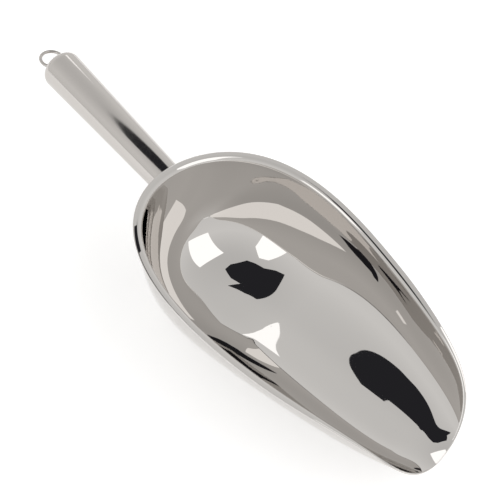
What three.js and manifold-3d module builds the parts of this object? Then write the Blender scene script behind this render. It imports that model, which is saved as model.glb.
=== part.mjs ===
import * as THREE from 'three';
import { ParametricGeometry } from 'three/addons/geometries/ParametricGeometry.js';
import { mergeVertices } from 'three/addons/utils/BufferGeometryUtils.js';
import Module from 'manifold-3d';

// A hand scoop for ice: a pressed sheet bowl, a hollow round handle welded to its
// back, a pressed cap on the handle's end and a wire loop to hang it by.
// Millimetres and degrees. +X points to the front lip, +Y is sideways, +Z is up.
// While it is built, x = 0 is the outside of the bowl's back wall and z = 0 is the
// underside of its floor. The last lines move the origin to the middle of the base.

// ---- the bowl ----
const SHEET = 1.0;                // thickness of the bowl's sheet
const BOWL_LENGTH = 187.3;        // back wall to front lip, outside, without the flare
const BOWL_WIDTH = 108;           // across the widest place, outside, without the flare
const BOWL_DEPTH = 57.6;          // height of the back rim, where the flare starts
const LIP_HEIGHT = 16;            // how far the front lip is turned up
const ROUND_CENTRE = 58;          // from the back wall to the middle of the round back
const ROUND_BLEND = 28;           // length over which the round back turns into the trough
const LIP_RUN = 24.8;             // length over which the floor ends in the lip
const FLOOR_BEND = 63;            // from the back wall to where the floor starts to rise
const FLOOR_BEND_LENGTH = 7;      // length of the bend there
const FLOOR_RISE = 8.4;           // slope of the floor from there to the lip
const FLAT_FLOOR = 0.19;          // flat share of the half width
const WALL_POWER = 2.92;          // at the back; 2 is a half ellipse, more is squarer
const WALL_POWER_LIP = 2.5;       // at the lip
const WALL_POWER_DIP = 0.94;      // how much less it is half way
const LIP_OPENING = 0.44;         // how much shallower the trough's curve is at the lip
const LIP_OPENING_POWER = 4;      // how late along the bowl that happens

// The rim is an egg. Its length, width and height are a circle's cosine and sine with
// a little of the next harmonics, which fill out the shoulders and blunt the lip.
const RIM_FORWARD = [-0.076, 0.002];
const RIM_SHOULDER = [0.204, 0.097, 0.001];
const RIM_HEIGHT = [0.186, -0.167, 0.086];

// ---- the flare of the rim ----
const FLARE_RADIUS = 1.8;         // bend radius of its underside
const FLARE_FLAT = 2.2;           // straight width past the bend
const FLARE_ANGLE = 6;            // slope of the straight part above the horizontal
const FLARE_BEND_SHARE = 0.6;     // share of the flare's rings that are in the bend
const FLARE_FADE_START = 0.6;     // share of the bowl's length where it starts to fade
const FLARE_LEAST = 0.12;         // share of the flare that is left at the lip

// ---- the handle ----
const HANDLE_LENGTH = 102.8;      // back wall to end face, along the axis
const HANDLE_BELOW_RIM = 2.3;     // top of the handle's foot to the start of the flare
const HANDLE_RISE = 8.5;          // slope of the axis
const HANDLE_NEAR_DIAMETER = 17.4;
const HANDLE_FAR_DIAMETER = 22.3;
const TUBE_WALL = 1.0;
const CAP_LENGTH = 11;
const CAP_CORNER = 5.2;           // radius of the cap's rounded corner
const SEAM_WIDTH = 1.0;           // weld metal between tube and cap
const WELD_LEG = 1.8;             // size of the fillet round the handle's foot

// ---- the hanging loop ----
const WIRE_DIAMETER = 1.8;
const LOOP_RADIUS = 6.2;          // to the middle of the wire
const LOOP_REACH = 5.0;           // from the end face to the middle of the loop
const LOOP_DROOP = 3;             // slope of the loop below the handle's axis
const LOOP_WELD_RADIUS = 1.9;

// ---- fits and fineness ----
const GAP = 0.3;                  // clearance between pieces that touch
const COPE_GAP = 0.4;             // clearance of the handle's foot to the bowl
const RIM_STEPS = 64;
const WALL_STEPS = 9;
const FLARE_BEND_STEPS = 3;
const ROUND_STEPS = 28;
const CORNER_STEPS = 6;
const WIRE_STEPS = 20;
const WIRE_SIDES = 10;
const WELD_STEPS = 16;
const SEARCH_STEPS = 720;         // places looked at to find the rim's widest one
const SMALL_TURN = 1e-3;          // step that directions on the skin are measured over
const SAME_PLACE = 1e-4;          // corners nearer than this are one corner

const wasm = await Module();
wasm.setup();

const HALF_TURN = Math.PI;
const WALL_TOP = 1;               // place across the skin where the flare starts
const FLARE_EDGE = 2;             // place across the skin where it ends
const radians = THREE.MathUtils.degToRad;

// ---------------------------------------------------------------- helpers

// A geometry with shared corners and no collapsed triangles.
function closed(geometry) {
  const plain = geometry.clone();
  plain.deleteAttribute('normal');
  plain.deleteAttribute('uv');
  const merged = mergeVertices(plain, SAME_PLACE);
  const corners = merged.index.array;
  const kept = [];
  for (let i = 0; i < corners.length; i += 3) {
    const [a, b, c] = [corners[i], corners[i + 1], corners[i + 2]];
    if (a !== b && b !== c && c !== a) kept.push(a, b, c);
  }
  merged.setIndex(kept);
  return merged;
}

function toSolid(geometry) {
  const shape = closed(geometry);
  return new wasm.Manifold(new wasm.Mesh({
    numProp: 3,
    vertProperties: Float32Array.from(shape.attributes.position.array),
    triVerts: Uint32Array.from(shape.index.array),
  }));
}

function toGeometry(solid) {
  const mesh = solid.getMesh();
  const geometry = new THREE.BufferGeometry();
  geometry.setAttribute('position', new THREE.BufferAttribute(mesh.vertProperties, 3));
  geometry.setIndex(new THREE.BufferAttribute(mesh.triVerts, 1));
  geometry.computeVertexNormals();
  return geometry;
}

function steel(colour, roughness) {
  return new THREE.MeshStandardMaterial({ color: colour, roughness, metalness: 1 });
}

function piece(name, geometry, material) {
  const mesh = new THREE.Mesh(geometry, material);
  mesh.name = name;
  return mesh;
}

// ---------------------------------------------------------------- bowl surface

const shoulderScale = widestShoulder();

function shoulder(turn) {
  let sum = Math.sin(turn);
  RIM_SHOULDER.forEach((share, i) => {
    sum += share * Math.sin((i + 2) * turn);
  });
  return sum;
}

function widestShoulder() {
  let widest = 0;
  for (let i = 0; i <= SEARCH_STEPS; i += 1) {
    widest = Math.max(widest, shoulder((HALF_TURN * i) / SEARCH_STEPS));
  }
  return widest;
}

// How far along the bowl a place of the rim is: 0 at the back, 1 at the lip.
function rimTravel(turn) {
  const [second, third] = RIM_FORWARD;
  return (1 - Math.cos(turn)) / 2
    + second * (Math.cos(2 * turn) - 1)
    + third * (Math.cos(3 * turn) - Math.cos(turn));
}

// The rim where the flare starts. The turn is 0 at the back and half a turn at the lip,
// and its sign is the side.
function rimPoint(turn) {
  const [first, second, third] = RIM_HEIGHT;
  const height = (1 + Math.cos(turn)) / 2
    + (first * (1 - Math.cos(2 * turn))) / 2
    + (second * (Math.cos(turn) - Math.cos(3 * turn))) / 2
    + (third * (1 - Math.cos(4 * turn))) / 2;
  return new THREE.Vector3(
    BOWL_LENGTH * rimTravel(turn),
    (BOWL_WIDTH / 2) * (shoulder(turn) / shoulderScale),
    LIP_HEIGHT + (BOWL_DEPTH - LIP_HEIGHT) * height,
  );
}

// The place on the floor's centre line that the section through a rim point starts from.
function spineX(x) {
  const ahead = x - ROUND_CENTRE;
  const eased = (ahead + Math.hypot(ahead, ROUND_BLEND)) / 2;
  const share = eased / (BOWL_LENGTH - ROUND_CENTRE);
  return ROUND_CENTRE + eased - LIP_RUN * share ** 4;
}

// Height of the floor: level under the round back, then a bend, then straight up to the
// lip.
function floorHeight(x) {
  const ahead = Math.max(x - FLOOR_BEND, 0);
  const inBend = Math.min(ahead, FLOOR_BEND_LENGTH);
  const eased = inBend ** 2 / (2 * FLOOR_BEND_LENGTH) + (ahead - inBend);
  return Math.tan(radians(FLOOR_RISE)) * eased;
}

// How square the section through a rim point is.
function wallPower(travel) {
  const straight = WALL_POWER + (WALL_POWER_LIP - WALL_POWER) * travel;
  return straight - 4 * WALL_POWER_DIP * travel * (1 - travel);
}

// Outside of the bowl from the centre line (across 0) to the rim (across 1): a flat
// strip, then a quarter of a superellipse that stands upright at the rim.
function wallPoint(turn, across) {
  const rim = rimPoint(turn);
  const start = spineX(rim.x);
  let out = across;
  let up = 0;
  if (across > FLAT_FLOOR) {
    const lipShare = ((1 - Math.cos(turn)) / 2) ** LIP_OPENING_POWER;
    const most = (HALF_TURN / 2) * (1 - LIP_OPENING * lipShare);
    const squareness = wallPower(rimTravel(turn));
    const angle = most * ((across - FLAT_FLOOR) / (1 - FLAT_FLOOR)) ** (squareness / 2);
    const power = 2 / squareness;
    const outShare = (Math.sin(angle) / Math.sin(most)) ** power;
    const least = Math.max(Math.cos(most), 0) ** power;
    out = FLAT_FLOOR + (1 - FLAT_FLOOR) * outShare;
    up = (1 - Math.max(Math.cos(angle), 0) ** power) / (1 - least);
  }
  const x = start + (rim.x - start) * out;
  const low = floorHeight(x);
  return new THREE.Vector3(x, rim.y * out, low + (rim.z - low) * up);
}

// Direction out of the bowl at the rim, level with the ground.
function rimOutward(turn) {
  const along = rimPoint(turn + SMALL_TURN).sub(rimPoint(turn - SMALL_TURN));
  return new THREE.Vector3(-along.y, along.x, 0).normalize();
}

// The flare goes on from the wall without a corner: an arc, then a straight strip.
function flarePoint(turn, along) {
  const start = wallPoint(turn, WALL_TOP);
  const heading = start.clone().sub(wallPoint(turn, WALL_TOP - SMALL_TURN)).normalize();
  const slope = radians(FLARE_ANGLE);
  const goal = rimOutward(turn).multiplyScalar(Math.cos(slope));
  goal.z = Math.sin(slope);
  const bend = heading.angleTo(goal);
  const side = goal.clone().addScaledVector(heading, -Math.cos(bend)).normalize();
  const faded = THREE.MathUtils.smoothstep(rimTravel(turn), FLARE_FADE_START, 1);
  const size = 1 - (1 - FLARE_LEAST) * faded;
  const angle = bend * Math.min(along / FLARE_BEND_SHARE, 1);
  const straight = Math.max(along - FLARE_BEND_SHARE, 0) / (1 - FLARE_BEND_SHARE);
  const radius = FLARE_RADIUS * size;
  const reach = FLARE_FLAT * size * straight;
  return start
    .addScaledVector(heading, radius * Math.sin(angle) + reach * Math.cos(angle))
    .addScaledVector(side, radius * (1 - Math.cos(angle)) + reach * Math.sin(angle));
}

// The whole outer skin: the wall and then the flare.
function skinPoint(turn, across) {
  return across <= WALL_TOP ? wallPoint(turn, across) : flarePoint(turn, across - WALL_TOP);
}

// The direction into the bowl, square to the skin. The two sides share the centre line,
// so there it is worked out for one of them and has nothing sideways.
function skinInward(turn, across) {
  const place = across > 0 ? turn : Math.abs(turn);
  const before = skinPoint(place - SMALL_TURN, across);
  const after = skinPoint(place + SMALL_TURN, across);
  const low = skinPoint(place, Math.max(across - SMALL_TURN, 0));
  const high = skinPoint(place, Math.min(across + SMALL_TURN, FLARE_EDGE));
  const inward = after.sub(before).cross(high.sub(low));
  if (across === 0) inward.y = 0;
  return inward.normalize();
}

// The skin moved square to itself: inwards by the sheet, outwards for a clearance.
function offsetPoint(turn, across, inward) {
  return skinPoint(turn, across).addScaledVector(skinInward(turn, across), inward);
}

// Where the rings of the skin lie, from the centre line to the edge of the flare.
function ringPlaces() {
  const places = [0];
  for (let i = 0; i <= WALL_STEPS; i += 1) {
    places.push(FLAT_FLOOR + ((1 - FLAT_FLOOR) * i) / WALL_STEPS);
  }
  for (let i = 1; i <= FLARE_BEND_STEPS; i += 1) {
    places.push(WALL_TOP + (FLARE_BEND_SHARE * i) / FLARE_BEND_STEPS);
  }
  return [...places, FLARE_EDGE];
}

// A closed surface round the bowl: rings is a list of functions from turn to point.
function ringSurface(rings) {
  const last = rings.length - 1;
  const place = (u, v, target) => {
    const turn = -HALF_TURN + 2 * HALF_TURN * (Math.round(u * RIM_STEPS) / RIM_STEPS);
    target.copy(rings[Math.round(v * last)](turn));
  };
  return closed(new ParametricGeometry(place, RIM_STEPS, last));
}

// ---------------------------------------------------------------- bowl

function bowlShell() {
  const places = ringPlaces();
  const outside = places.map((across) => (turn) => skinPoint(turn, across));
  const inside = places.map((across) => (turn) => offsetPoint(turn, across, SHEET));
  return ringSurface([...inside, ...outside.reverse()]);
}

// The bowl filled up and made larger by a clearance, to cut the handle's foot with. Its
// sides go up past the handle from the edge of the flare or from the top of the wall.
function bowlEnvelope(clearance, highest) {
  const lidHeight = BOWL_DEPTH + HANDLE_FAR_DIAMETER;
  const sideways = highest === FLARE_EDGE ? clearance : 0;
  const places = ringPlaces().filter((across) => across <= highest);
  const skin = places.map((across) => (turn) => offsetPoint(turn, across, -clearance));
  const edge = (turn) => {
    const corner = offsetPoint(turn, highest, -clearance);
    return corner.addScaledVector(rimOutward(turn), sideways).setZ(lidHeight);
  };
  const middle = (turn) => new THREE.Vector3(spineX(rimPoint(turn).x), 0, lidHeight);
  return ringSurface([middle, edge, ...skin.reverse()]);
}

// ---------------------------------------------------------------- handle frame

const handleHeight = BOWL_DEPTH - HANDLE_BELOW_RIM - HANDLE_NEAR_DIAMETER / 2;

// In the handle's own frame Y runs along the axis away from the bowl, X is sideways
// and Z is up and square to the axis.
function handleFrame() {
  const rise = radians(HANDLE_RISE);
  const frame = new THREE.Matrix4().makeBasis(
    new THREE.Vector3(0, 1, 0),
    new THREE.Vector3(-Math.cos(rise), 0, Math.sin(rise)),
    new THREE.Vector3(Math.sin(rise), 0, Math.cos(rise)),
  );
  return frame.setPosition(0, 0, handleHeight);
}

function handleRadius(along) {
  const share = along / (HANDLE_LENGTH - CAP_CORNER);
  return THREE.MathUtils.lerp(HANDLE_NEAR_DIAMETER, HANDLE_FAR_DIAMETER, share) / 2;
}

// A body of revolution round the handle's axis from a list of [radius, along].
function turned(profile) {
  const points = profile.map(([radius, along]) => new THREE.Vector2(radius, along));
  return new THREE.LatheGeometry(points, ROUND_STEPS);
}

function ring(low, high, inner, outer) {
  return turned([
    [inner(low), low],
    [outer(low), low],
    [outer(high), high],
    [inner(high), high],
    [inner(low), low],
  ]);
}

// ---------------------------------------------------------------- handle pieces

const footStart = -HANDLE_NEAR_DIAMETER / 2;     // well inside the bowl, cut away later
const capStart = HANDLE_LENGTH - CAP_LENGTH;
const seamHigh = capStart - GAP;
const seamLow = seamHigh - SEAM_WIDTH;
const tubeEnd = seamLow - GAP;
const tubeInner = (along) => handleRadius(along) - TUBE_WALL;

// A bowl envelope seen from the handle's frame.
function envelopeForHandle(clearance, highest) {
  const shape = bowlEnvelope(clearance, highest);
  return toSolid(shape.applyMatrix4(handleFrame().invert()));
}

function handleTube() {
  const tube = toSolid(ring(footStart, tubeEnd, tubeInner, handleRadius));
  return toGeometry(tube.subtract(envelopeForHandle(COPE_GAP, FLARE_EDGE)));
}

// Weld metal round the handle's foot: what lies near both the bowl and the tube.
function footWeld() {
  const inner = (along) => handleRadius(along) + GAP;
  const outer = (along) => handleRadius(along) + GAP + WELD_LEG;
  const collar = toSolid(ring(footStart, -footStart, inner, outer));
  const nearBowl = collar.intersect(envelopeForHandle(COPE_GAP + WELD_LEG, WALL_TOP));
  return toGeometry(nearBowl.subtract(envelopeForHandle(COPE_GAP, FLARE_EDGE)));
}

function capSeam() {
  return closed(ring(seamLow, seamHigh, tubeInner, handleRadius));
}

// The cap is a cup: a short skirt, a rounded corner and a flat end.
function endCap() {
  const arc = (radius, corner, top) => {
    const points = [];
    for (let i = 0; i <= CORNER_STEPS; i += 1) {
      const angle = ((HALF_TURN / 2) * i) / CORNER_STEPS;
      points.push([
        radius - corner + corner * Math.cos(angle),
        top - corner + corner * Math.sin(angle),
      ]);
    }
    return points;
  };
  const cornerStart = HANDLE_LENGTH - CAP_CORNER;
  const outside = arc(handleRadius(cornerStart), CAP_CORNER, HANDLE_LENGTH);
  const inside = arc(tubeInner(cornerStart), CAP_CORNER - TUBE_WALL, HANDLE_LENGTH - TUBE_WALL);
  return closed(turned([
    [0, HANDLE_LENGTH - TUBE_WALL],
    ...inside.reverse(),
    [tubeInner(capStart), capStart],
    [handleRadius(capStart), capStart],
    ...outside,
    [0, HANDLE_LENGTH],
  ]));
}

// ---------------------------------------------------------------- hanging loop

// The middle of the loop's wire: a part circle whose ends run into the end face.
class LoopCurve extends THREE.Curve {
  getPoint(share, target = new THREE.Vector3()) {
    const open = Math.acos((LOOP_REACH + WIRE_DIAMETER / 2) / LOOP_RADIUS);
    const angle = THREE.MathUtils.lerp(open - HALF_TURN, HALF_TURN - open, share);
    const out = LOOP_REACH + LOOP_RADIUS * Math.cos(angle);
    const droop = radians(LOOP_DROOP);
    return target.set(
      LOOP_RADIUS * Math.sin(angle),
      HANDLE_LENGTH + out * Math.cos(droop),
      -out * Math.sin(droop),
    );
  }
}

function wire(radius) {
  const section = new THREE.Shape();
  section.absarc(0, 0, radius, 0, 2 * HALF_TURN);
  return toSolid(new THREE.ExtrudeGeometry(section, {
    extrudePath: new LoopCurve(),
    steps: WIRE_STEPS,
    curveSegments: WIRE_SIDES,
  }));
}

// Everything of a solid that is clear of the handle's end face.
function aboveEndFace(solid) {
  const size = HANDLE_FAR_DIAMETER;
  const block = new THREE.BoxGeometry(size, size, size);
  block.translate(0, HANDLE_LENGTH + GAP - size / 2, 0);
  return solid.subtract(toSolid(block));
}

function hangingLoop() {
  return toGeometry(aboveEndFace(wire(WIRE_DIAMETER / 2)));
}

// A small mound of weld metal round one leg of the loop.
function legWeld(side) {
  const legOut = Math.sqrt(LOOP_RADIUS ** 2 - LOOP_REACH ** 2);
  const mound = new THREE.SphereGeometry(LOOP_WELD_RADIUS, WELD_STEPS, WELD_STEPS / 2);
  mound.translate(side * legOut, HANDLE_LENGTH, 0);
  return toGeometry(aboveEndFace(toSolid(mound).subtract(wire(WIRE_DIAMETER / 2 + GAP))));
}

// ---------------------------------------------------------------- assembly

const polished = steel(0xc9c7c4, 0.08);
const satin = steel(0xbdbab6, 0.22);
const weldMetal = steel(0xa9a6a2, 0.35);

const handle = new THREE.Group();
handle.applyMatrix4(handleFrame());
handle.add(piece('handle_tube', handleTube(), satin));
handle.add(piece('handle_weld', footWeld(), weldMetal));
handle.add(piece('end_cap_weld', capSeam(), weldMetal));
handle.add(piece('handle_end_cap', endCap(), satin));
handle.add(piece('hanging_loop', hangingLoop(), polished));
handle.add(piece('loop_weld_left', legWeld(-1), weldMetal));
handle.add(piece('loop_weld_right', legWeld(1), weldMetal));

const scoop = new THREE.Group();
scoop.add(piece('scoop_bowl', bowlShell(), polished));
scoop.add(handle);

const extent = new THREE.Box3().setFromObject(scoop, true);
scoop.position.x = -(extent.min.x + extent.max.x) / 2;

const group = new THREE.Group();
group.add(scoop);

export default group;
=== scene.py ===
# %% [markdown]
# # A polished steel ice scoop
#
# This scoop is a pressed sheet bowl with a hollow handle, an end cap and a wire loop
# welded to it. The lesson rebuilds each piece as a smooth surface around a finished
# solid model and then gives it the look of polished stainless steel. A mirror finish
# has hardly any colour of its own, so most of the work is in two places: how smooth
# the surfaces are, and what stands around them to be reflected.

import math

import bmesh
import bpy
import numpy as np
from mathutils import Matrix, Vector


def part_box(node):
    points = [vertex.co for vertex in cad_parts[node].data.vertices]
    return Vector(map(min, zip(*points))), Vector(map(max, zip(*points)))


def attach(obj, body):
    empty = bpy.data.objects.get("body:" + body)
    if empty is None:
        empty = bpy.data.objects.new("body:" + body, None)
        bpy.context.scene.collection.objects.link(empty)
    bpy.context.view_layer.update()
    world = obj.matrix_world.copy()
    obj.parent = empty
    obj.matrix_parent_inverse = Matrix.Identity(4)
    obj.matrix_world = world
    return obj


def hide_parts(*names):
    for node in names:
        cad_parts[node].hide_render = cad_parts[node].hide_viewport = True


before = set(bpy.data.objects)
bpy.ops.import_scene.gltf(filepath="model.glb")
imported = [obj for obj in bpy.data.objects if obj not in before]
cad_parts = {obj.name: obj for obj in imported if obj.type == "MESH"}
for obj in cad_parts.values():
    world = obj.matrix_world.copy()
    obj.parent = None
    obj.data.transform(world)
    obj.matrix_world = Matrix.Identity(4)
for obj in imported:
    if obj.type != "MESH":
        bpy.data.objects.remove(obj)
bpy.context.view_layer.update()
MM = 0.001
print("solids:", ", ".join(sorted(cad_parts)))


# %% [markdown]
# ## From arrays to meshes
#
# Every piece here is a grid of points: rows that run round or along the piece, each
# with the same number of points. One helper turns such a grid into a mesh. Rows can be
# joined into a closed loop, columns too, and a pole can close an end. Doing this once,
# with whole arrays, keeps every piece's own cell short.


# %% Helper: a mesh from a grid of points
def grid_faces(rows, columns, rows_closed, columns_closed):
    """Corner numbers of the quads of a rows x columns grid, as an array of fours."""
    r = np.arange(rows if rows_closed else rows - 1)
    c = np.arange(columns if columns_closed else columns - 1)
    r, c = np.meshgrid(r, c, indexing="ij")
    r2, c2 = (r + 1) % rows, (c + 1) % columns
    quads = [r * columns + c, r * columns + c2, r2 * columns + c2, r2 * columns + c]
    return np.stack(quads, axis=-1).reshape(-1, 4)


SHARP_FROM = math.radians(40)


def mesh_piece(name, points, faces, material, merge=0.0):
    """An object from points in metres and lists of corner numbers. It is shaded smooth
    but for edges sharper than SHARP_FROM, and merge joins corners that coincide."""
    mesh = bpy.data.meshes.new(name)
    mesh.from_pydata(points.reshape(-1, 3).tolist(), [], faces)
    piece = bpy.data.objects.new(name, mesh)
    bpy.context.scene.collection.objects.link(piece)
    if merge:
        shape = bmesh.new()
        shape.from_mesh(mesh)
        bmesh.ops.remove_doubles(shape, verts=shape.verts, dist=merge)
        bmesh.ops.dissolve_degenerate(shape, edges=shape.edges, dist=merge)
        shape.to_mesh(mesh)
        shape.free()
    mesh.polygons.foreach_set("use_smooth", np.ones(len(mesh.polygons), dtype=bool))
    mesh.set_sharp_from_angle(angle=SHARP_FROM)
    mesh.materials.append(material)
    mesh.update()
    print(name, len(mesh.vertices), "corners", len(mesh.polygons), "faces")
    return piece


# %% [markdown]
# ## Colours and shader nodes
#
# Colours are written as the hex values that a colour picker shows and turned to the
# linear values that a shader works in.


# %% Helpers: colour and nodes
def linear(hex_colour):
    """sRGB hex to linear RGBA: each channel c becomes ((c + 0.055) / 1.055) ** 2.4."""
    srgb = np.array([int(hex_colour[i : i + 2], 16) for i in (1, 3, 5)]) / 255
    low = srgb / 12.92
    high = ((srgb + 0.055) / 1.055) ** 2.4
    return (*np.where(srgb <= 0.04045, low, high).tolist(), 1.0)


def add_node(tree, kind, links=(), **settings):
    """Adds a node. settings are its sockets by name, links are (socket, output) pairs."""
    node = tree.nodes.new(kind)
    for key, value in settings.items():
        if hasattr(node, key):
            setattr(node, key, value)
        else:
            node.inputs[key.replace("_", " ")].default_value = value
    for socket, output in links:
        tree.links.new(output, node.inputs[socket])
    return node


def metal(name, colour, roughness):
    """A new metal with one even colour and roughness, and its node tree and shader."""
    material = bpy.data.materials.new(name)
    material.use_nodes = True
    shader = material.node_tree.nodes["Principled BSDF"]
    shader.inputs["Base Color"].default_value = linear(colour)
    shader.inputs["Metallic"].default_value = 1.0
    shader.inputs["Roughness"].default_value = roughness
    return material, material.node_tree, shader


# %% [markdown]
# ## Polished stainless steel
#
# Every piece is 304 stainless steel, and only the finish differs. The bowl is deep drawn
# from sheet and buffed to a mirror, so its roughness is close to nothing. The handle is
# drawn tube that was polished along its length: fine marks draw the reflections out
# sideways. The wire is bright drawn, and the welds were brushed. The shader keeps its
# default IOR, because a metal's colour alone says how much it reflects.

# %% Material: mirror buffed sheet and bright wire
buffed_sheet, _, _ = metal("buffed_304_sheet", "#D0CDCA", 0.018)
bright_wire, _, _ = metal("bright_drawn_304_wire", "#BDB9B5", 0.12)
print("even metals:", buffed_sheet.name, "and", bright_wire.name)


# %% [markdown]
# ### Marks in the tube and the welds
#
# A polishing belt leaves long fine marks and a brush leaves short ones. They could be
# painted, but a stretched noise has no seam and needs no unwrapping. It is used twice:
# as a very shallow height and as a roughness that goes up and down a little. The tube's
# marks run level, which is only a few degrees off its axis.

# %% Material: tube and welds with polishing marks
NOISE_TURN = math.radians(8.5)
SMOOTHEST, ROUGHEST = 0.7, 1.3


def marked_metal(name, colour, roughness, mark_size, depth):
    """A metal with fine marks: a noise whose grain has mark_size (x, y, z) in metres,
    used as a height of the given depth in metres and to vary the roughness. The node
    scales first and turns last, so NOISE_TURN leaves the marks level and only picks
    another part of the noise."""
    material, tree, shader = metal(name, colour, roughness)
    place = add_node(tree, "ShaderNodeTexCoord")
    stretch = add_node(tree, "ShaderNodeMapping", links=[("Vector", place.outputs["Object"])])
    stretch.inputs["Rotation"].default_value = (0, NOISE_TURN, 0)
    stretch.inputs["Scale"].default_value = [1 / size for size in mark_size]
    grain = add_node(
        tree, "ShaderNodeTexNoise", links=[("Vector", stretch.outputs[0])], Scale=1.0, Detail=3.0
    )
    height = add_node(
        tree, "ShaderNodeBump", links=[("Height", grain.outputs[0])], Strength=1.0, Distance=depth
    )
    spread = add_node(tree, "ShaderNodeMapRange", links=[("Value", grain.outputs[0])])
    spread.inputs["To Min"].default_value = roughness * SMOOTHEST
    spread.inputs["To Max"].default_value = roughness * ROUGHEST
    tree.links.new(spread.outputs[0], shader.inputs["Roughness"])
    tree.links.new(height.outputs[0], shader.inputs["Normal"])
    return material


BELT_MARK, BELT_DEPTH = (30 * MM, 0.5 * MM, 0.5 * MM), 0.0012 * MM
BRUSH_MARK, BRUSH_DEPTH = (0.6 * MM, 0.6 * MM, 0.6 * MM), 0.01 * MM
polished_tube = marked_metal("polished_304_tube", "#C9C5C1", 0.1, BELT_MARK, BELT_DEPTH)
brushed_weld = marked_metal("brushed_304_weld", "#C4C0BC", 0.28, BRUSH_MARK, BRUSH_DEPTH)
print("marked metals:", polished_tube.name, "and", brushed_weld.name)


# %% [markdown]
# ## The bowl
#
# The bowl is one sheet of steel, pressed into an egg-shaped trough. It could be
# sculpted from a box with a subdivision surface, but a mirror shows every wobble of the
# control cage. So it is worked out: the rim is a smooth closed curve, and from each of
# its points a quarter of a superellipse runs down to the middle of the floor.

# %% Bowl: its sizes
SHEET = 1.0 * MM
BOWL_LENGTH, BOWL_WIDTH, BOWL_DEPTH = 187.3 * MM, 108 * MM, 57.6 * MM
LIP_HEIGHT = 16 * MM
ROUND_CENTRE, ROUND_BLEND, LIP_RUN = 58 * MM, 28 * MM, 24.8 * MM
FLOOR_BEND, FLOOR_BEND_LENGTH = 57 * MM, 19 * MM
FLOOR_RISE = math.radians(8.4)
FLAT_FLOOR = 0.19
WALL_POWER, WALL_POWER_LIP, WALL_POWER_DIP = 2.92, 2.5, 0.94
LIP_OPENING, LIP_OPENING_POWER = 0.44, 4
EASE_WIDTH, EASE_START, EASE_END = 0.1, 0.45, 0.8
RIM_FORWARD = (-0.076, 0.002)
RIM_SHOULDER = (0.204, 0.097, 0.001)
RIM_HEIGHT = (0.186, -0.167, 0.086)
FLARE_RADIUS, FLARE_FLAT = 1.8 * MM, 1.85 * MM
FLARE_ANGLE = math.radians(6)
FLARE_BEND_SHARE = 0.6
FLARE_FADE_START, FLARE_LEAST = 0.6, 0.12
print("bowl inside its flare:", round(BOWL_LENGTH / MM, 1), "x", round(BOWL_WIDTH / MM, 1), "mm")


# %% [markdown]
# ### The rim line
#
# The rim starts as a circle seen at a slant: its length, side and height are a cosine
# and a sine. A little of the next harmonics fills out the shoulders, blunts the lip and
# makes the sides dip. A curve drawn by hand with a few handles would do as well, but
# this one has no joints that could show in the mirror.

# %% Bowl: the rim line
def rim_travel(turn):
    """How far forward a rim point is, 0 at the back and 1 at the lip: half of
    1 - cos(turn), with a little of the second and third harmonic."""
    second, third = RIM_FORWARD
    return (
        (1 - np.cos(turn)) / 2
        + second * (np.cos(2 * turn) - 1)
        + third * (np.cos(3 * turn) - np.cos(turn))
    )


def rim_side(turn):
    """sin(turn) and a little of its harmonics: a rounded shoulder and a blunt lip."""
    parts = [np.sin(turn)]
    parts += [share * np.sin((i + 2) * turn) for i, share in enumerate(RIM_SHOULDER)]
    return sum(parts)


WIDEST = rim_side(np.linspace(0, math.pi, 721)).max()


def rim_line(turn):
    """Points of the rim where the flare starts, as an array of x, y, z."""
    first, second, third = RIM_HEIGHT
    height = (
        (1 + np.cos(turn)) / 2
        + first * (1 - np.cos(2 * turn)) / 2
        + second * (np.cos(turn) - np.cos(3 * turn)) / 2
        + third * (1 - np.cos(4 * turn)) / 2
    )
    x = BOWL_LENGTH * rim_travel(turn)
    y = BOWL_WIDTH / 2 * rim_side(turn) / WIDEST
    return np.stack([x, y, LIP_HEIGHT + (BOWL_DEPTH - LIP_HEIGHT) * height], axis=-1)


print("rim height in mm, back and lip:", np.round(rim_line(np.array([0, math.pi]))[:, 2] / MM, 1))


# %% [markdown]
# ### The wall
#
# From each rim point a section runs to the centre line of the floor. The press leaves
# the floor nearly flat and the wall upright, which is what a superellipse does. Its one
# fault is a jump in curvature where it leaves the flat strip, and a mirror would show
# that as a hard edge, so the rise is averaged over its neighbourhood there.

# %% Bowl: the wall
BELL_PLACES = np.linspace(-2.5, 2.5, 15)
BELL_WEIGHTS = np.exp(-(BELL_PLACES**2) / 2)


def spine_x(x):
    """Where on the floor's centre line the section through a rim point starts."""
    ahead = x - ROUND_CENTRE
    eased = (ahead + np.hypot(ahead, ROUND_BLEND)) / 2
    return ROUND_CENTRE + eased - LIP_RUN * (eased / (BOWL_LENGTH - ROUND_CENTRE)) ** 4


def floor_height(x):
    """Level under the round back, then a bend, then straight up to the lip."""
    ahead = np.clip(x - FLOOR_BEND, 0, None)
    in_bend = np.minimum(ahead, FLOOR_BEND_LENGTH)
    return math.tan(FLOOR_RISE) * (in_bend**2 / (2 * FLOOR_BEND_LENGTH) + ahead - in_bend)


def wall_power(travel):
    """How square the section is: 2 is a half ellipse, more is squarer."""
    straight = WALL_POWER + (WALL_POWER_LIP - WALL_POWER) * travel
    return straight - 4 * WALL_POWER_DIP * travel * (1 - travel)


def rise(out, most, squareness):
    """Height share of the section over its width share: a flat strip, then one minus
    the power 1 / squareness of 1 - sin(most)^2 * width^squareness."""
    width = np.clip((np.abs(out) - FLAT_FLOOR) / (1 - FLAT_FLOOR), 0, 1)
    rest = np.clip(1 - np.sin(most) ** 2 * width**squareness, 0, None)
    least = np.clip(np.cos(most), 0, None) ** (2 / squareness)
    return (1 - rest ** (1 / squareness)) / (1 - least)


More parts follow.
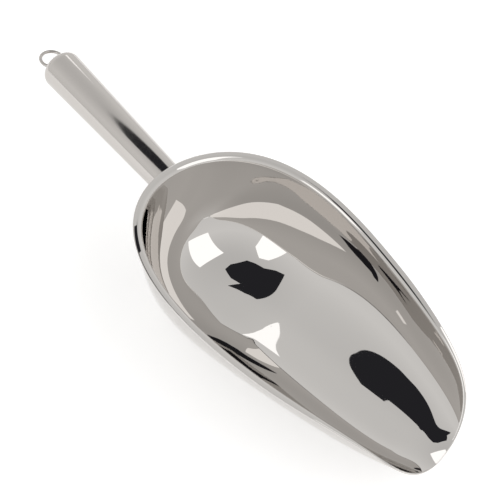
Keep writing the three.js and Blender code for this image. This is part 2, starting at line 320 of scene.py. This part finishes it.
def eased_rise(out, most, squareness):
    """The rise averaged over a bell curve of nearby places, which takes the jump in
    curvature out of the floor. The averaging stops before the steep wall."""
    fade = np.clip((EASE_END - out) / (EASE_END - EASE_START), 0, 1)
    reach = EASE_WIDTH * fade**2 * (3 - 2 * fade)
    total = sum(
        weight * rise(out + place * reach, most, squareness)
        for weight, place in zip(BELL_WEIGHTS, BELL_PLACES)
    )
    return total / BELL_WEIGHTS.sum()


def wall(turn, across):
    """Outside of the wall. across runs from the floor's centre line, 0, to the rim, 1:
    a flat strip, then a superellipse quarter that stands upright at the rim."""
    rim = rim_line(turn)
    opened = ((1 - np.cos(turn)) / 2) ** LIP_OPENING_POWER
    most = math.pi / 2 * (1 - LIP_OPENING * opened)
    squareness = wall_power(rim_travel(turn))
    share = np.clip((across - FLAT_FLOOR) / (1 - FLAT_FLOOR), 0, None)
    angle = most * share ** (squareness / 2)
    out_share = (np.sin(angle) / np.sin(most)) ** (2 / squareness)
    out = np.where(across <= FLAT_FLOOR, across, FLAT_FLOOR + (1 - FLAT_FLOOR) * out_share)
    up = eased_rise(out, most, squareness)
    start = spine_x(rim[..., 0])
    x = start + (rim[..., 0] - start) * out
    low = floor_height(x)
    return np.stack([x, rim[..., 1] * out, low + (rim[..., 2] - low) * up], axis=-1)


print("the floor climbs", round(floor_height(BOWL_LENGTH) / MM, 1), "mm towards the lip")


# %% [markdown]
# ### The flare
#
# The rim is bent outwards to make it stiff and kind to the hand. It could be a bevelled
# curve along the edge. Here it goes on from the wall's own direction, so that wall and
# flare share one tangent, and it fades out towards the lip, which stays a plain edge.

# %% Bowl: the flare of the rim
SMALL = 1e-3


def unit(vectors):
    """Each vector divided by its length."""
    return vectors / np.linalg.norm(vectors, axis=-1, keepdims=True)


def flare(turn, along):
    """The rim's flare, from the wall's top, 0, to its edge, 1: an arc that carries on
    the wall's direction and bends it outwards, then a straight strip."""
    start = wall(turn, np.ones_like(turn))
    heading = unit(start - wall(turn, np.ones_like(turn) - SMALL))
    run = rim_line(turn + SMALL) - rim_line(turn - SMALL)
    outward = unit(np.stack([-run[..., 1], run[..., 0], 0 * turn], axis=-1))
    up = np.array([0.0, 0.0, 1.0])
    goal = outward * math.cos(FLARE_ANGLE) + up * math.sin(FLARE_ANGLE)
    cosine = np.sum(heading * goal, axis=-1, keepdims=True)
    bend = np.arccos(np.clip(cosine, -1, 1))
    side = unit(goal - heading * cosine)
    fade = np.clip((rim_travel(turn) - FLARE_FADE_START) / (1 - FLARE_FADE_START), 0, 1)
    size = (1 - (1 - FLARE_LEAST) * fade**2 * (3 - 2 * fade))[..., None]
    angle = bend * np.minimum(along / FLARE_BEND_SHARE, 1)[..., None]
    straight = np.maximum(along - FLARE_BEND_SHARE, 0)[..., None] / (1 - FLARE_BEND_SHARE)
    radius, reach = FLARE_RADIUS * size, FLARE_FLAT * size * straight
    forward = heading * (radius * np.sin(angle) + reach * np.cos(angle))
    return start + forward + side * (radius * (1 - np.cos(angle)) + reach * np.sin(angle))


def skin(turn, across):
    """The whole outer skin: wall up to across 1 and flare up to across 2."""
    low = wall(turn, np.minimum(across, 1))
    high = flare(turn, np.maximum(across - 1, 0))
    return np.where((across <= 1)[..., None], low, high)


def skin_inward(turn, across):
    """Unit vectors into the bowl, square to the skin, from small steps both ways. On
    the centre line, which both sides share, they have nothing sideways."""
    place = np.where(across > 0, turn, np.abs(turn))
    along = skin(place + SMALL, across) - skin(place - SMALL, across)
    low = skin(place, np.maximum(across - SMALL, 0))
    inward = np.cross(along, skin(place, np.minimum(across + SMALL, 2)) - low)
    inward[..., 1] = np.where(across > 0, inward[..., 1], 0)
    length = np.linalg.norm(inward, axis=-1, keepdims=True)
    up = np.array([0.0, 0.0, 1.0])
    return np.where(length > 0, inward / np.where(length > 0, length, 1), up)


ends = np.array([0, math.pi])
flare_width = np.linalg.norm(flare(ends, np.ones(2)) - rim_line(ends), axis=-1)
print("flare width in mm, back and lip:", np.round(flare_width / MM, 1))


# %% [markdown]
# ### The sheet
#
# The outer skin is moved inwards by the sheet's thickness and the two are joined by a
# small round edge. A Solidify modifier would do nearly the same, but worked out in one
# go the inside is exactly as smooth as the outside.

# %% Bowl: the sheet with its rounded edge
EDGE_BULGE = 0.35 * MM
RIM_STEPS, FLOOR_STEPS, WALL_STEPS, FLARE_STEPS, EDGE_STEPS = 480, 4, 76, 16, 6


def across_places():
    """Places across the skin: the flat floor, the wall and the flare."""
    floor = np.linspace(0, FLAT_FLOOR, FLOOR_STEPS, endpoint=False)
    side = np.linspace(FLAT_FLOOR, 1, WALL_STEPS, endpoint=False)
    return np.concatenate([floor, side, np.linspace(1, 2, FLARE_STEPS)])


def bowl_points():
    """Rows from the inside's centre line up to the edge and down the outside. The edge
    is half an ellipse across the sheet's thickness."""
    turn = np.linspace(-math.pi, math.pi, RIM_STEPS, endpoint=False)
    t, a = np.meshgrid(turn, across_places())
    outside = skin(t, a)
    inside = outside + SHEET * skin_inward(t, a)
    edge_out, edge_in = outside[-1], inside[-1]
    tip = unit(outside[-1] - outside[-2])
    phi = np.linspace(0, math.pi, EDGE_STEPS + 2)[1:-1, None, None]
    middle = (edge_out + edge_in) / 2
    round_edge = middle + (edge_in - middle) * np.cos(phi) + tip * EDGE_BULGE * np.sin(phi)
    return np.concatenate([inside, round_edge, outside[::-1]])


def zipped_faces(rows, columns):
    """Faces of the ring surface. The first and the last row lie along the floor's
    centre line, where the left and the right half meet, so each corner there is shared
    with its mirror image."""
    faces = grid_faces(rows, columns, False, True)
    for row in (0, rows - 1):
        start = row * columns
        mine = (faces >= start) & (faces < start + columns)
        column = faces - start
        mirrored = (columns - column) % columns
        faces = np.where(mine & (column > columns // 2), start + mirrored, faces)
    return faces


points = bowl_points()
cad_low, cad_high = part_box("scoop_bowl")
shift = (cad_low[0] + cad_high[0] - points[..., 0].min() - points[..., 0].max()) / 2
points[..., 0] += shift
faces = zipped_faces(len(points), RIM_STEPS)[:, ::-1]
bowl = mesh_piece("bowl", points, faces.tolist(), buffed_sheet, merge=1e-7)
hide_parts("scoop_bowl")
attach(bowl, "root")
print("the frame's origin is", round(-shift / MM, 2), "mm in front of the back wall")


# %% [markdown]
# ## The handle
#
# The handle is a tapered tube. In its own frame, Y runs along the axis away from the
# bowl, X is sideways and Z is up and square to the axis, so each of its pieces is a
# profile of (radius, along) pairs turned round the Y axis.

# %% Handle: its sizes and its frame
HANDLE_LENGTH = 102.8 * MM
HANDLE_BELOW_RIM = 2.3 * MM
HANDLE_RISE = math.radians(8.5)
NEAR_RADIUS, FAR_RADIUS = 8.7 * MM, 11.15 * MM
TUBE_WALL = 1.0 * MM
CAP_LENGTH, CAP_CORNER = 11 * MM, 5.2 * MM
SEAM_WIDTH = 1.0 * MM
ROUND_STEPS = 128
ROUND_ANGLES = np.linspace(0, 2 * math.pi, ROUND_STEPS, endpoint=False)

handle_height = BOWL_DEPTH - HANDLE_BELOW_RIM - NEAR_RADIUS
across_axis = np.array([0.0, 1.0, 0.0])
along_axis = np.array([-math.cos(HANDLE_RISE), 0.0, math.sin(HANDLE_RISE)])
up_axis = np.array([math.sin(HANDLE_RISE), 0.0, math.cos(HANDLE_RISE)])
handle_start = np.array([shift, 0.0, handle_height])
print("the handle's axis leaves the bowl", round(handle_height / MM, 1), "mm up")


def handle_place(across, along, up):
    """Places in the shared frame: the handle's start plus across, along and up, each
    times its own axis."""
    return (
        handle_start
        + np.multiply.outer(across, across_axis)
        + np.multiply.outer(along, along_axis)
        + np.multiply.outer(up, up_axis)
    )


def tube_radius(along):
    """The taper: a straight line from the bowl to where the cap's corner starts."""
    return NEAR_RADIUS + (FAR_RADIUS - NEAR_RADIUS) * along / (HANDLE_LENGTH - CAP_CORNER)


# %% Handle: turned pieces
def turned_points(profile):
    """Rows of a profile of (radius, along) turned round the handle's axis."""
    radius = np.multiply.outer(profile[:, 0], np.ones(ROUND_STEPS))
    along = np.multiply.outer(profile[:, 1], np.ones(ROUND_STEPS))
    return handle_place(radius * np.sin(ROUND_ANGLES), along, radius * np.cos(ROUND_ANGLES))


def turned_piece(name, profile, material, merge=0.0):
    """A piece from a closed profile, whose last row joins its first."""
    faces = grid_faces(len(profile), ROUND_STEPS, True, True)[:, ::-1]
    return mesh_piece(name, turned_points(profile), faces.tolist(), material, merge)


# %% [markdown]
# ### Where the tube meets the bowl
#
# The end of the tube is cut to the curve of the bowl's back, as a pipe fitter copes a
# pipe. A Boolean would leave long thin faces along the cut. So the back wall is written
# as a polynomial of the place across the handle, and the tube's last ring follows it.

# %% Handle: the coped foot
FIT_RADIUS = 14 * MM
FIT_TURN, FIT_LOWEST = 0.9, 0.3
FIT_STEPS = (121, 90)


def back_wall_fit():
    """Least squares weights of the polynomial along = f(across, up) for the places of
    the bowl's back that are within FIT_RADIUS of the handle's axis."""
    turn = np.linspace(-FIT_TURN, FIT_TURN, FIT_STEPS[0])
    t, a = np.meshgrid(turn, np.linspace(FIT_LOWEST, 1, FIT_STEPS[1]))
    p = skin(t, a).reshape(-1, 3) + [shift, 0, 0] - handle_start
    across, along, up = p @ across_axis, p @ along_axis, p @ up_axis
    near = np.hypot(across, up) < FIT_RADIUS
    x, z = across[near] / NEAR_RADIUS, up[near] / NEAR_RADIUS
    terms = back_wall_terms(x, z)
    weights, *_ = np.linalg.lstsq(terms, along[near], rcond=None)
    print("back wall fitted to", round(np.abs(terms @ weights - along[near]).max() / MM, 3), "mm")
    return weights


def back_wall_terms(x, z):
    """Even powers of x up to the fourth, times powers of z: up to the fourth too, and
    one less for each next power of x."""
    return np.stack([x**i * z**j for i in (0, 2, 4) for j in range(5 - i // 2)], axis=-1)


back_wall_weights = back_wall_fit()


def back_wall(across, up):
    """Outside of the bowl's back wall in the handle's frame."""
    terms = back_wall_terms(across / NEAR_RADIUS, up / NEAR_RADIUS)
    return terms @ back_wall_weights


# %% [markdown]
# ### The tube
#
# The handle is a thin tube that gets thicker towards its end. A cone would do for the
# outside, but it is hollow, so the profile goes out along the outside and back inside.

# %% Handle: tube
TUBE_ROWS = 40
cap_start = HANDLE_LENGTH - CAP_LENGTH
seam_start = cap_start - SEAM_WIDTH


def tube_points():
    """Outside from the foot to the seam and back on the inside. The first and last
    rows follow the bowl's back wall and go half a sheet into it."""
    sine, cosine = np.sin(ROUND_ANGLES), np.cos(ROUND_ANGLES)
    share = np.linspace(0, 1, TUBE_ROWS)[:, None]

    def skin_of_tube(less):
        """Rows that lie the distance less inside the tube's outside."""
        radius = NEAR_RADIUS - less
        foot = back_wall(radius * sine, radius * cosine) - SHEET / 2
        along = foot + (seam_start - foot) * share
        radius = tube_radius(along) - less
        return handle_place(radius * sine, along, radius * cosine)

    return np.concatenate([skin_of_tube(0), skin_of_tube(TUBE_WALL)[::-1]])


points = tube_points()
faces = grid_faces(len(points), ROUND_STEPS, True, True)[:, ::-1]
tube = mesh_piece("tube", points, faces.tolist(), polished_tube)
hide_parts("handle_tube")
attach(tube, "root")


# %% [markdown]
# ### The end cap and its seam
#
# The cap is a pressed cup, welded on. No seam shows round such a handle, so it is taken
# to be ground flush and polished over. It is still a piece of its own, with the tube's
# finish. The cup could be a cylinder with a bevel; a turned profile gives the exact
# round corner.

# %% Handle: seam and cap
SEAM_ROWS, SKIRT_ROWS, CORNER_ROWS, END_ROWS = 7, 8, 24, 8


def seam_profile():
    """A short ring as thick as the tube, outside first and then back on the inside."""
    along = np.linspace(seam_start, cap_start, SEAM_ROWS)
    outside = np.stack([tube_radius(along), along], axis=-1)
    inside = np.stack([tube_radius(along) - TUBE_WALL, along], axis=-1)
    return np.concatenate([outside, inside[::-1]])


def cap_profile():
    """The cup's profile: skirt, a quarter round corner and the flat end, then the same
    one wall further in."""

    def side(less):
        """Skirt, corner and end, the distance less inside the cup's outside."""
        skirt_end, middle = HANDLE_LENGTH - CAP_CORNER, FAR_RADIUS - CAP_CORNER
        along = np.linspace(cap_start, skirt_end, SKIRT_ROWS, endpoint=False)
        skirt = np.stack([tube_radius(along) - less, along], axis=-1)
        phi = np.linspace(0, math.pi / 2, CORNER_ROWS)
        corner = CAP_CORNER - less
        arc = np.stack([middle + corner * np.cos(phi), skirt_end + corner * np.sin(phi)], axis=-1)
        flat = np.linspace(middle, 0, END_ROWS)[1:]
        end = np.stack([flat, np.full_like(flat, HANDLE_LENGTH - less)], axis=-1)
        return np.concatenate([skirt, arc, end])

    return np.concatenate([side(0), side(TUBE_WALL)[::-1]])


seam = turned_piece("cap_seam", seam_profile(), polished_tube)
cap = turned_piece("end_cap", cap_profile(), polished_tube, merge=1e-6)
for piece, node, slot in (
    (seam, "end_cap_weld", "weld_metal"),
    (cap, "handle_end_cap", "polished_tube"),
):
    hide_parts(node)
    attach(piece, "root")


# %% [markdown]
# ### The weld round the foot
#
# A welder leaves a small hollow fillet between tube and bowl. It could be a bevel of
# the edge where they meet, if they were one mesh. Its section is a curve with three
# control points: one on the tube, one near the corner, one on the bowl.

# %% Handle: weld round the foot
WELD_LEG, WELD_ROOT, WELD_HOLLOW = 1.8 * MM, 0.3 * MM, 0.15
WELD_ROWS = 9


def foot_weld_points():
    """Rows of a concave fillet: from the tube, WELD_LEG away from the bowl, down to the
    bowl's back WELD_LEG out from the tube, and back below both surfaces."""
    share = np.linspace(0, 1, WELD_ROWS)[:, None]
    sine, cosine = np.sin(ROUND_ANGLES), np.cos(ROUND_ANGLES)
    foot = back_wall(NEAR_RADIUS * sine, NEAR_RADIUS * cosine)
    wide, inner = NEAR_RADIUS + WELD_LEG, NEAR_RADIUS - WELD_ROOT
    landing = back_wall(wide * sine, wide * cosine)
    on_tube, in_corner, on_bowl = (1 - share) ** 2, 2 * share * (1 - share), share**2
    hollow = WELD_HOLLOW * WELD_LEG
    radius = on_tube * NEAR_RADIUS + in_corner * (NEAR_RADIUS + hollow) + on_bowl * wide
    along = on_tube * (foot + WELD_LEG) + in_corner * (foot + hollow) + on_bowl * landing
    under = np.multiply.outer([wide, inner, inner], np.ones(ROUND_STEPS))
    under_along = np.stack([landing - SHEET / 3, foot - SHEET / 3, foot + WELD_LEG])
    radius = np.concatenate([radius + 0 * ROUND_ANGLES, under])
    along = np.concatenate([along, under_along])
    return handle_place(radius * sine, along, radius * cosine)


points = foot_weld_points()
faces = grid_faces(len(points), ROUND_STEPS, True, True)
foot_weld = mesh_piece("foot_weld", points, faces.tolist(), brushed_weld)
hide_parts("handle_weld")
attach(foot_weld, "root")


# %% [markdown]
# ## The hanging loop
#
# A piece of bright wire is bent to most of a circle and both its ends are welded to the
# cap. It could be a curve with a round bevel. A torus formula gives the same surface
# without a curve object to convert.

# %% Hanging loop
WIRE_RADIUS = 0.9 * MM
LOOP_RADIUS, LOOP_REACH = 6.2 * MM, 5.0 * MM
LOOP_DROOP = math.radians(3)
WIRE_STEPS, WIRE_SIDES = 96, 24


def loop_points():
    """A torus cut open: the ring's radius plus the wire's times the cosine of the angle
    round the wire. Its ends run a quarter of a wire into the cap's end face."""
    opening = math.acos((LOOP_REACH + 0.5 * WIRE_RADIUS) / LOOP_RADIUS)
    path = np.linspace(opening - math.pi, math.pi - opening, WIRE_STEPS)[:, None]
    phi = np.linspace(0, 2 * math.pi, WIRE_SIDES, endpoint=False)
    ring = LOOP_RADIUS + WIRE_RADIUS * np.cos(phi)
    across = ring * np.sin(path)
    out = LOOP_REACH + ring * np.cos(path)
    lift = WIRE_RADIUS * np.sin(phi) + 0 * path
    along = HANDLE_LENGTH + out * math.cos(LOOP_DROOP) + lift * math.sin(LOOP_DROOP)
    up = -out * math.sin(LOOP_DROOP) + lift * math.cos(LOOP_DROOP)
    return handle_place(across, along, up)


def capped_tube(points):
    """Corners and faces of a body made of rings, closed by a fan round the middle of
    its first and of its last ring."""
    rows, columns = points.shape[:2]
    body = grid_faces(rows, columns, False, True)
    c = np.arange(columns)
    first = np.stack([np.full(columns, rows * columns), c, (c + 1) % columns], axis=-1)
    last_row = (rows - 1) * columns
    far = np.full(columns, rows * columns + 1)
    last = np.stack([far, last_row + (c + 1) % columns, last_row + c], axis=-1)
    ends = np.stack([points[0].mean(axis=0), points[-1].mean(axis=0)])
    corners = np.concatenate([points.reshape(-1, 3), ends])
    return corners, body.tolist() + first.tolist() + last.tolist()


loop = mesh_piece("loop", *capped_tube(loop_points()), bright_wire)
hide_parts("hanging_loop")
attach(loop, "root")


# %% [markdown]
# ## The loop's weld spots
#
# Each leg is held by a small mound of weld metal. It is a little more than half a
# sphere, flattened along the handle's axis, and it is widest at the cap's end face. A
# scaled sphere would do too, but its far half would poke through into the hollow cap.

# %% Loop: weld spots
MOUND_RADIUS, MOUND_FLATNESS = 1.9 * MM, 0.62
MOUND_TIP, MOUND_FOOT = 0.02, math.pi / 2 + 0.35  # radians from the mound's own axis
MOUND_ROWS, MOUND_STEPS = 14, 24


def mound_points(side):
    """Rings of the mound at one leg: the radius times the sine of the angle from its
    axis, and the flattened radius times the cosine along the handle."""
    leg = side * math.sqrt(LOOP_RADIUS**2 - LOOP_REACH**2)
    open_angle = np.linspace(MOUND_TIP, MOUND_FOOT, MOUND_ROWS)[:, None]
    phi = np.linspace(0, 2 * math.pi, MOUND_STEPS, endpoint=False)
    across = leg + MOUND_RADIUS * np.sin(open_angle) * np.cos(phi)
    up = MOUND_RADIUS * np.sin(open_angle) * np.sin(phi)
    along = HANDLE_LENGTH + MOUND_FLATNESS * MOUND_RADIUS * np.cos(open_angle) + 0 * phi
    return handle_place(across, along, up)


for side, node in ((-1, "loop_weld_left"), (1, "loop_weld_right")):
    name = node.replace("loop_weld", "mound")
    mound = mesh_piece(name, *capped_tube(mound_points(side)), brushed_weld)
    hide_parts(node)
    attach(mound, "root")


# %% [markdown]
# ## Camera
#
# A scoop like this is seen best from above and in front of the lip, so that the trough
# opens towards the viewer and the handle runs away. The lens is long, so the handle
# hardly shrinks. The three vectors are written out, because they are exact and a
# rotation in angles would say less.

# %% Camera
CAMERA_PLACE = (0.228833, -0.261740, 0.412871)
CAMERA_RIGHT = (0.684440, 0.718763, 0.122158)
CAMERA_UP = (-0.593336, 0.451774, 0.666222)
LENS, SENSOR = 72, 36  # millimetres
CLIP = (0.01, 20)  # metres
right, up = Vector(CAMERA_RIGHT), Vector(CAMERA_UP)
axes = Matrix((right, up, right.cross(up))).transposed()
camera = bpy.data.objects.new("camera", bpy.data.cameras.new("camera"))
camera.data.lens, camera.data.sensor_width = LENS, SENSOR
camera.data.clip_start, camera.data.clip_end = CLIP
camera.matrix_world = Matrix.Translation(CAMERA_PLACE) @ axes.to_4x4()
bpy.context.scene.collection.objects.link(camera)
bpy.context.scene.camera = camera
print("camera looks down by", round(math.degrees(math.asin(right.cross(up).z))), "degrees")


# %% [markdown]
# ## Studio
#
# A mirror shows the room, so the room is built for what it does in the steel. It could
# be a picture wrapped round the world, but that is infinitely far off, and a board close
# to the scoop shows differently in each piece. So only the pale background is a dome,
# darkest overhead. The table is white and lit, and it stands for the ground.


# %% Studio: lit table and dome
TABLE_HALF = 3.0  # metres
TABLE_GLOW, TABLE_ROUGHNESS = 0.36, 0.6
DOME = [(0.0, 0.83), (0.45, 0.88), (0.7, 0.8), (1.0, 0.7)]  # sine of height, brightness
DOME_TINT = (1.0, 0.995, 0.985)


def glowing(name, colour, brightness):
    """A material that only gives out light of one colour and brightness."""
    material = bpy.data.materials.new(name)
    material.use_nodes = True
    tree = material.node_tree
    tree.nodes.clear()
    light = add_node(tree, "ShaderNodeEmission", Color=linear(colour), Strength=brightness)
    add_node(tree, "ShaderNodeOutputMaterial", links=[("Surface", light.outputs[0])])
    return material


def flat_sheet(name, corners, material):
    """A flat polygon through the given corners, with its material, linked to the scene."""
    mesh = bpy.data.meshes.new(name)
    mesh.from_pydata([tuple(c) for c in corners], [], [tuple(range(len(corners)))])
    mesh.materials.append(material)
    sheet = bpy.data.objects.new(name, mesh)
    bpy.context.scene.collection.objects.link(sheet)
    return sheet


table_top = bpy.data.materials.new("lit_white_acrylic")
table_top.use_nodes = True
table_shader = table_top.node_tree.nodes["Principled BSDF"]
table_shader.inputs["Base Color"].default_value = linear("#F4F4F4")
table_shader.inputs["Roughness"].default_value = TABLE_ROUGHNESS
table_shader.inputs["Emission Color"].default_value = linear("#FFFFFF")
table_shader.inputs["Emission Strength"].default_value = TABLE_GLOW
square = [(-1, -1), (1, -1), (1, 1), (-1, 1)]
flat_sheet("floor", [(x * TABLE_HALF, y * TABLE_HALF, 0) for x, y in square], table_top)

world = bpy.data.worlds.new("studio")
world.use_nodes = True
sky = world.node_tree
background = sky.nodes["Background"]
direction = add_node(sky, "ShaderNodeTexCoord")
parts = add_node(sky, "ShaderNodeSeparateXYZ", links=[("Vector", direction.outputs["Generated"])])
ramp = add_node(sky, "ShaderNodeValToRGB", links=[("Fac", parts.outputs["Z"])])
for index, (place, level) in enumerate(DOME):
    stops = ramp.color_ramp.elements
    stop = stops[index] if index < 2 else stops.new(place)
    stop.position = place
    stop.color = (*[level * share for share in DOME_TINT], 1)
sky.links.new(ramp.outputs["Color"], background.inputs["Color"])
bpy.context.scene.world = world
bpy.context.scene.view_settings.view_transform = "Standard"
print("table", 2 * TABLE_HALF, "m wide; dome, from low to high:", [level for _, level in DOME])


# %% [markdown]
# ### The cards
#
# Cards hang level above the scoop. A dark board gives three things at once: the long
# dark pool in the front of the trough, the dark patch in the round back and the dark
# wedge along the handle. They are one board, seen from three places, and that fixes how
# high it hangs. Softboxes beside it give the bright patches.

# %% Studio: cards
def card(name, outline, height, colour, brightness):
    """A level card over the scoop, seen only in reflections, as a lamp would be. outline
    lists its corners as x and y in metres."""
    corners = [(x, y, height) for x, y in outline]
    sheet = flat_sheet("card_" + name, corners, glowing("card_" + name, colour, brightness))
    sheet.visible_camera = False
    print(sheet.name, "has", len(outline), "corners and hangs", height, "m up")


DARK_BOARD = [
    (-0.186, 0.235), (-0.196, 0.130), (-0.205, -0.020), (-0.212, -0.160), (-0.218, -0.250),
    (-0.180, -0.215), (-0.129, -0.135), (-0.075, -0.120), (-0.028, -0.090),
    (-0.020, 0.060), (-0.045, 0.125), (-0.100, 0.162), (-0.142, 0.172), (-0.152, 0.230),
]
SOFT_FRONT = [(0.14, -0.02), (0.95, -0.08), (1.05, 0.5), (0.06, 0.24)]
SOFT_RIGHT = [(-0.30, -0.95), (0.16, -1.0), (0.06, -0.42), (-0.06, -0.24), (-0.12, -0.30)]
SOFT_BACK = [(-0.42, 0.29), (-0.345, 0.29), (-0.345, 0.40), (-0.42, 0.40)]
BOARD_HEIGHT, SOFTBOX_HEIGHT = 0.45, 0.46
BOARD_GLOW, SOFTBOX_GLOW, BACK_GLOW = 1.0, 1.65, 1.6
card("dark_board", DARK_BOARD, BOARD_HEIGHT, "#2A2A2E", BOARD_GLOW)
card("soft_front", SOFT_FRONT, SOFTBOX_HEIGHT, "#FFFFFF", SOFTBOX_GLOW)
card("soft_right", SOFT_RIGHT, SOFTBOX_HEIGHT, "#FFFFFF", SOFTBOX_GLOW)
card("soft_back", SOFT_BACK, SOFTBOX_HEIGHT, "#FFFFFF", BACK_GLOW)
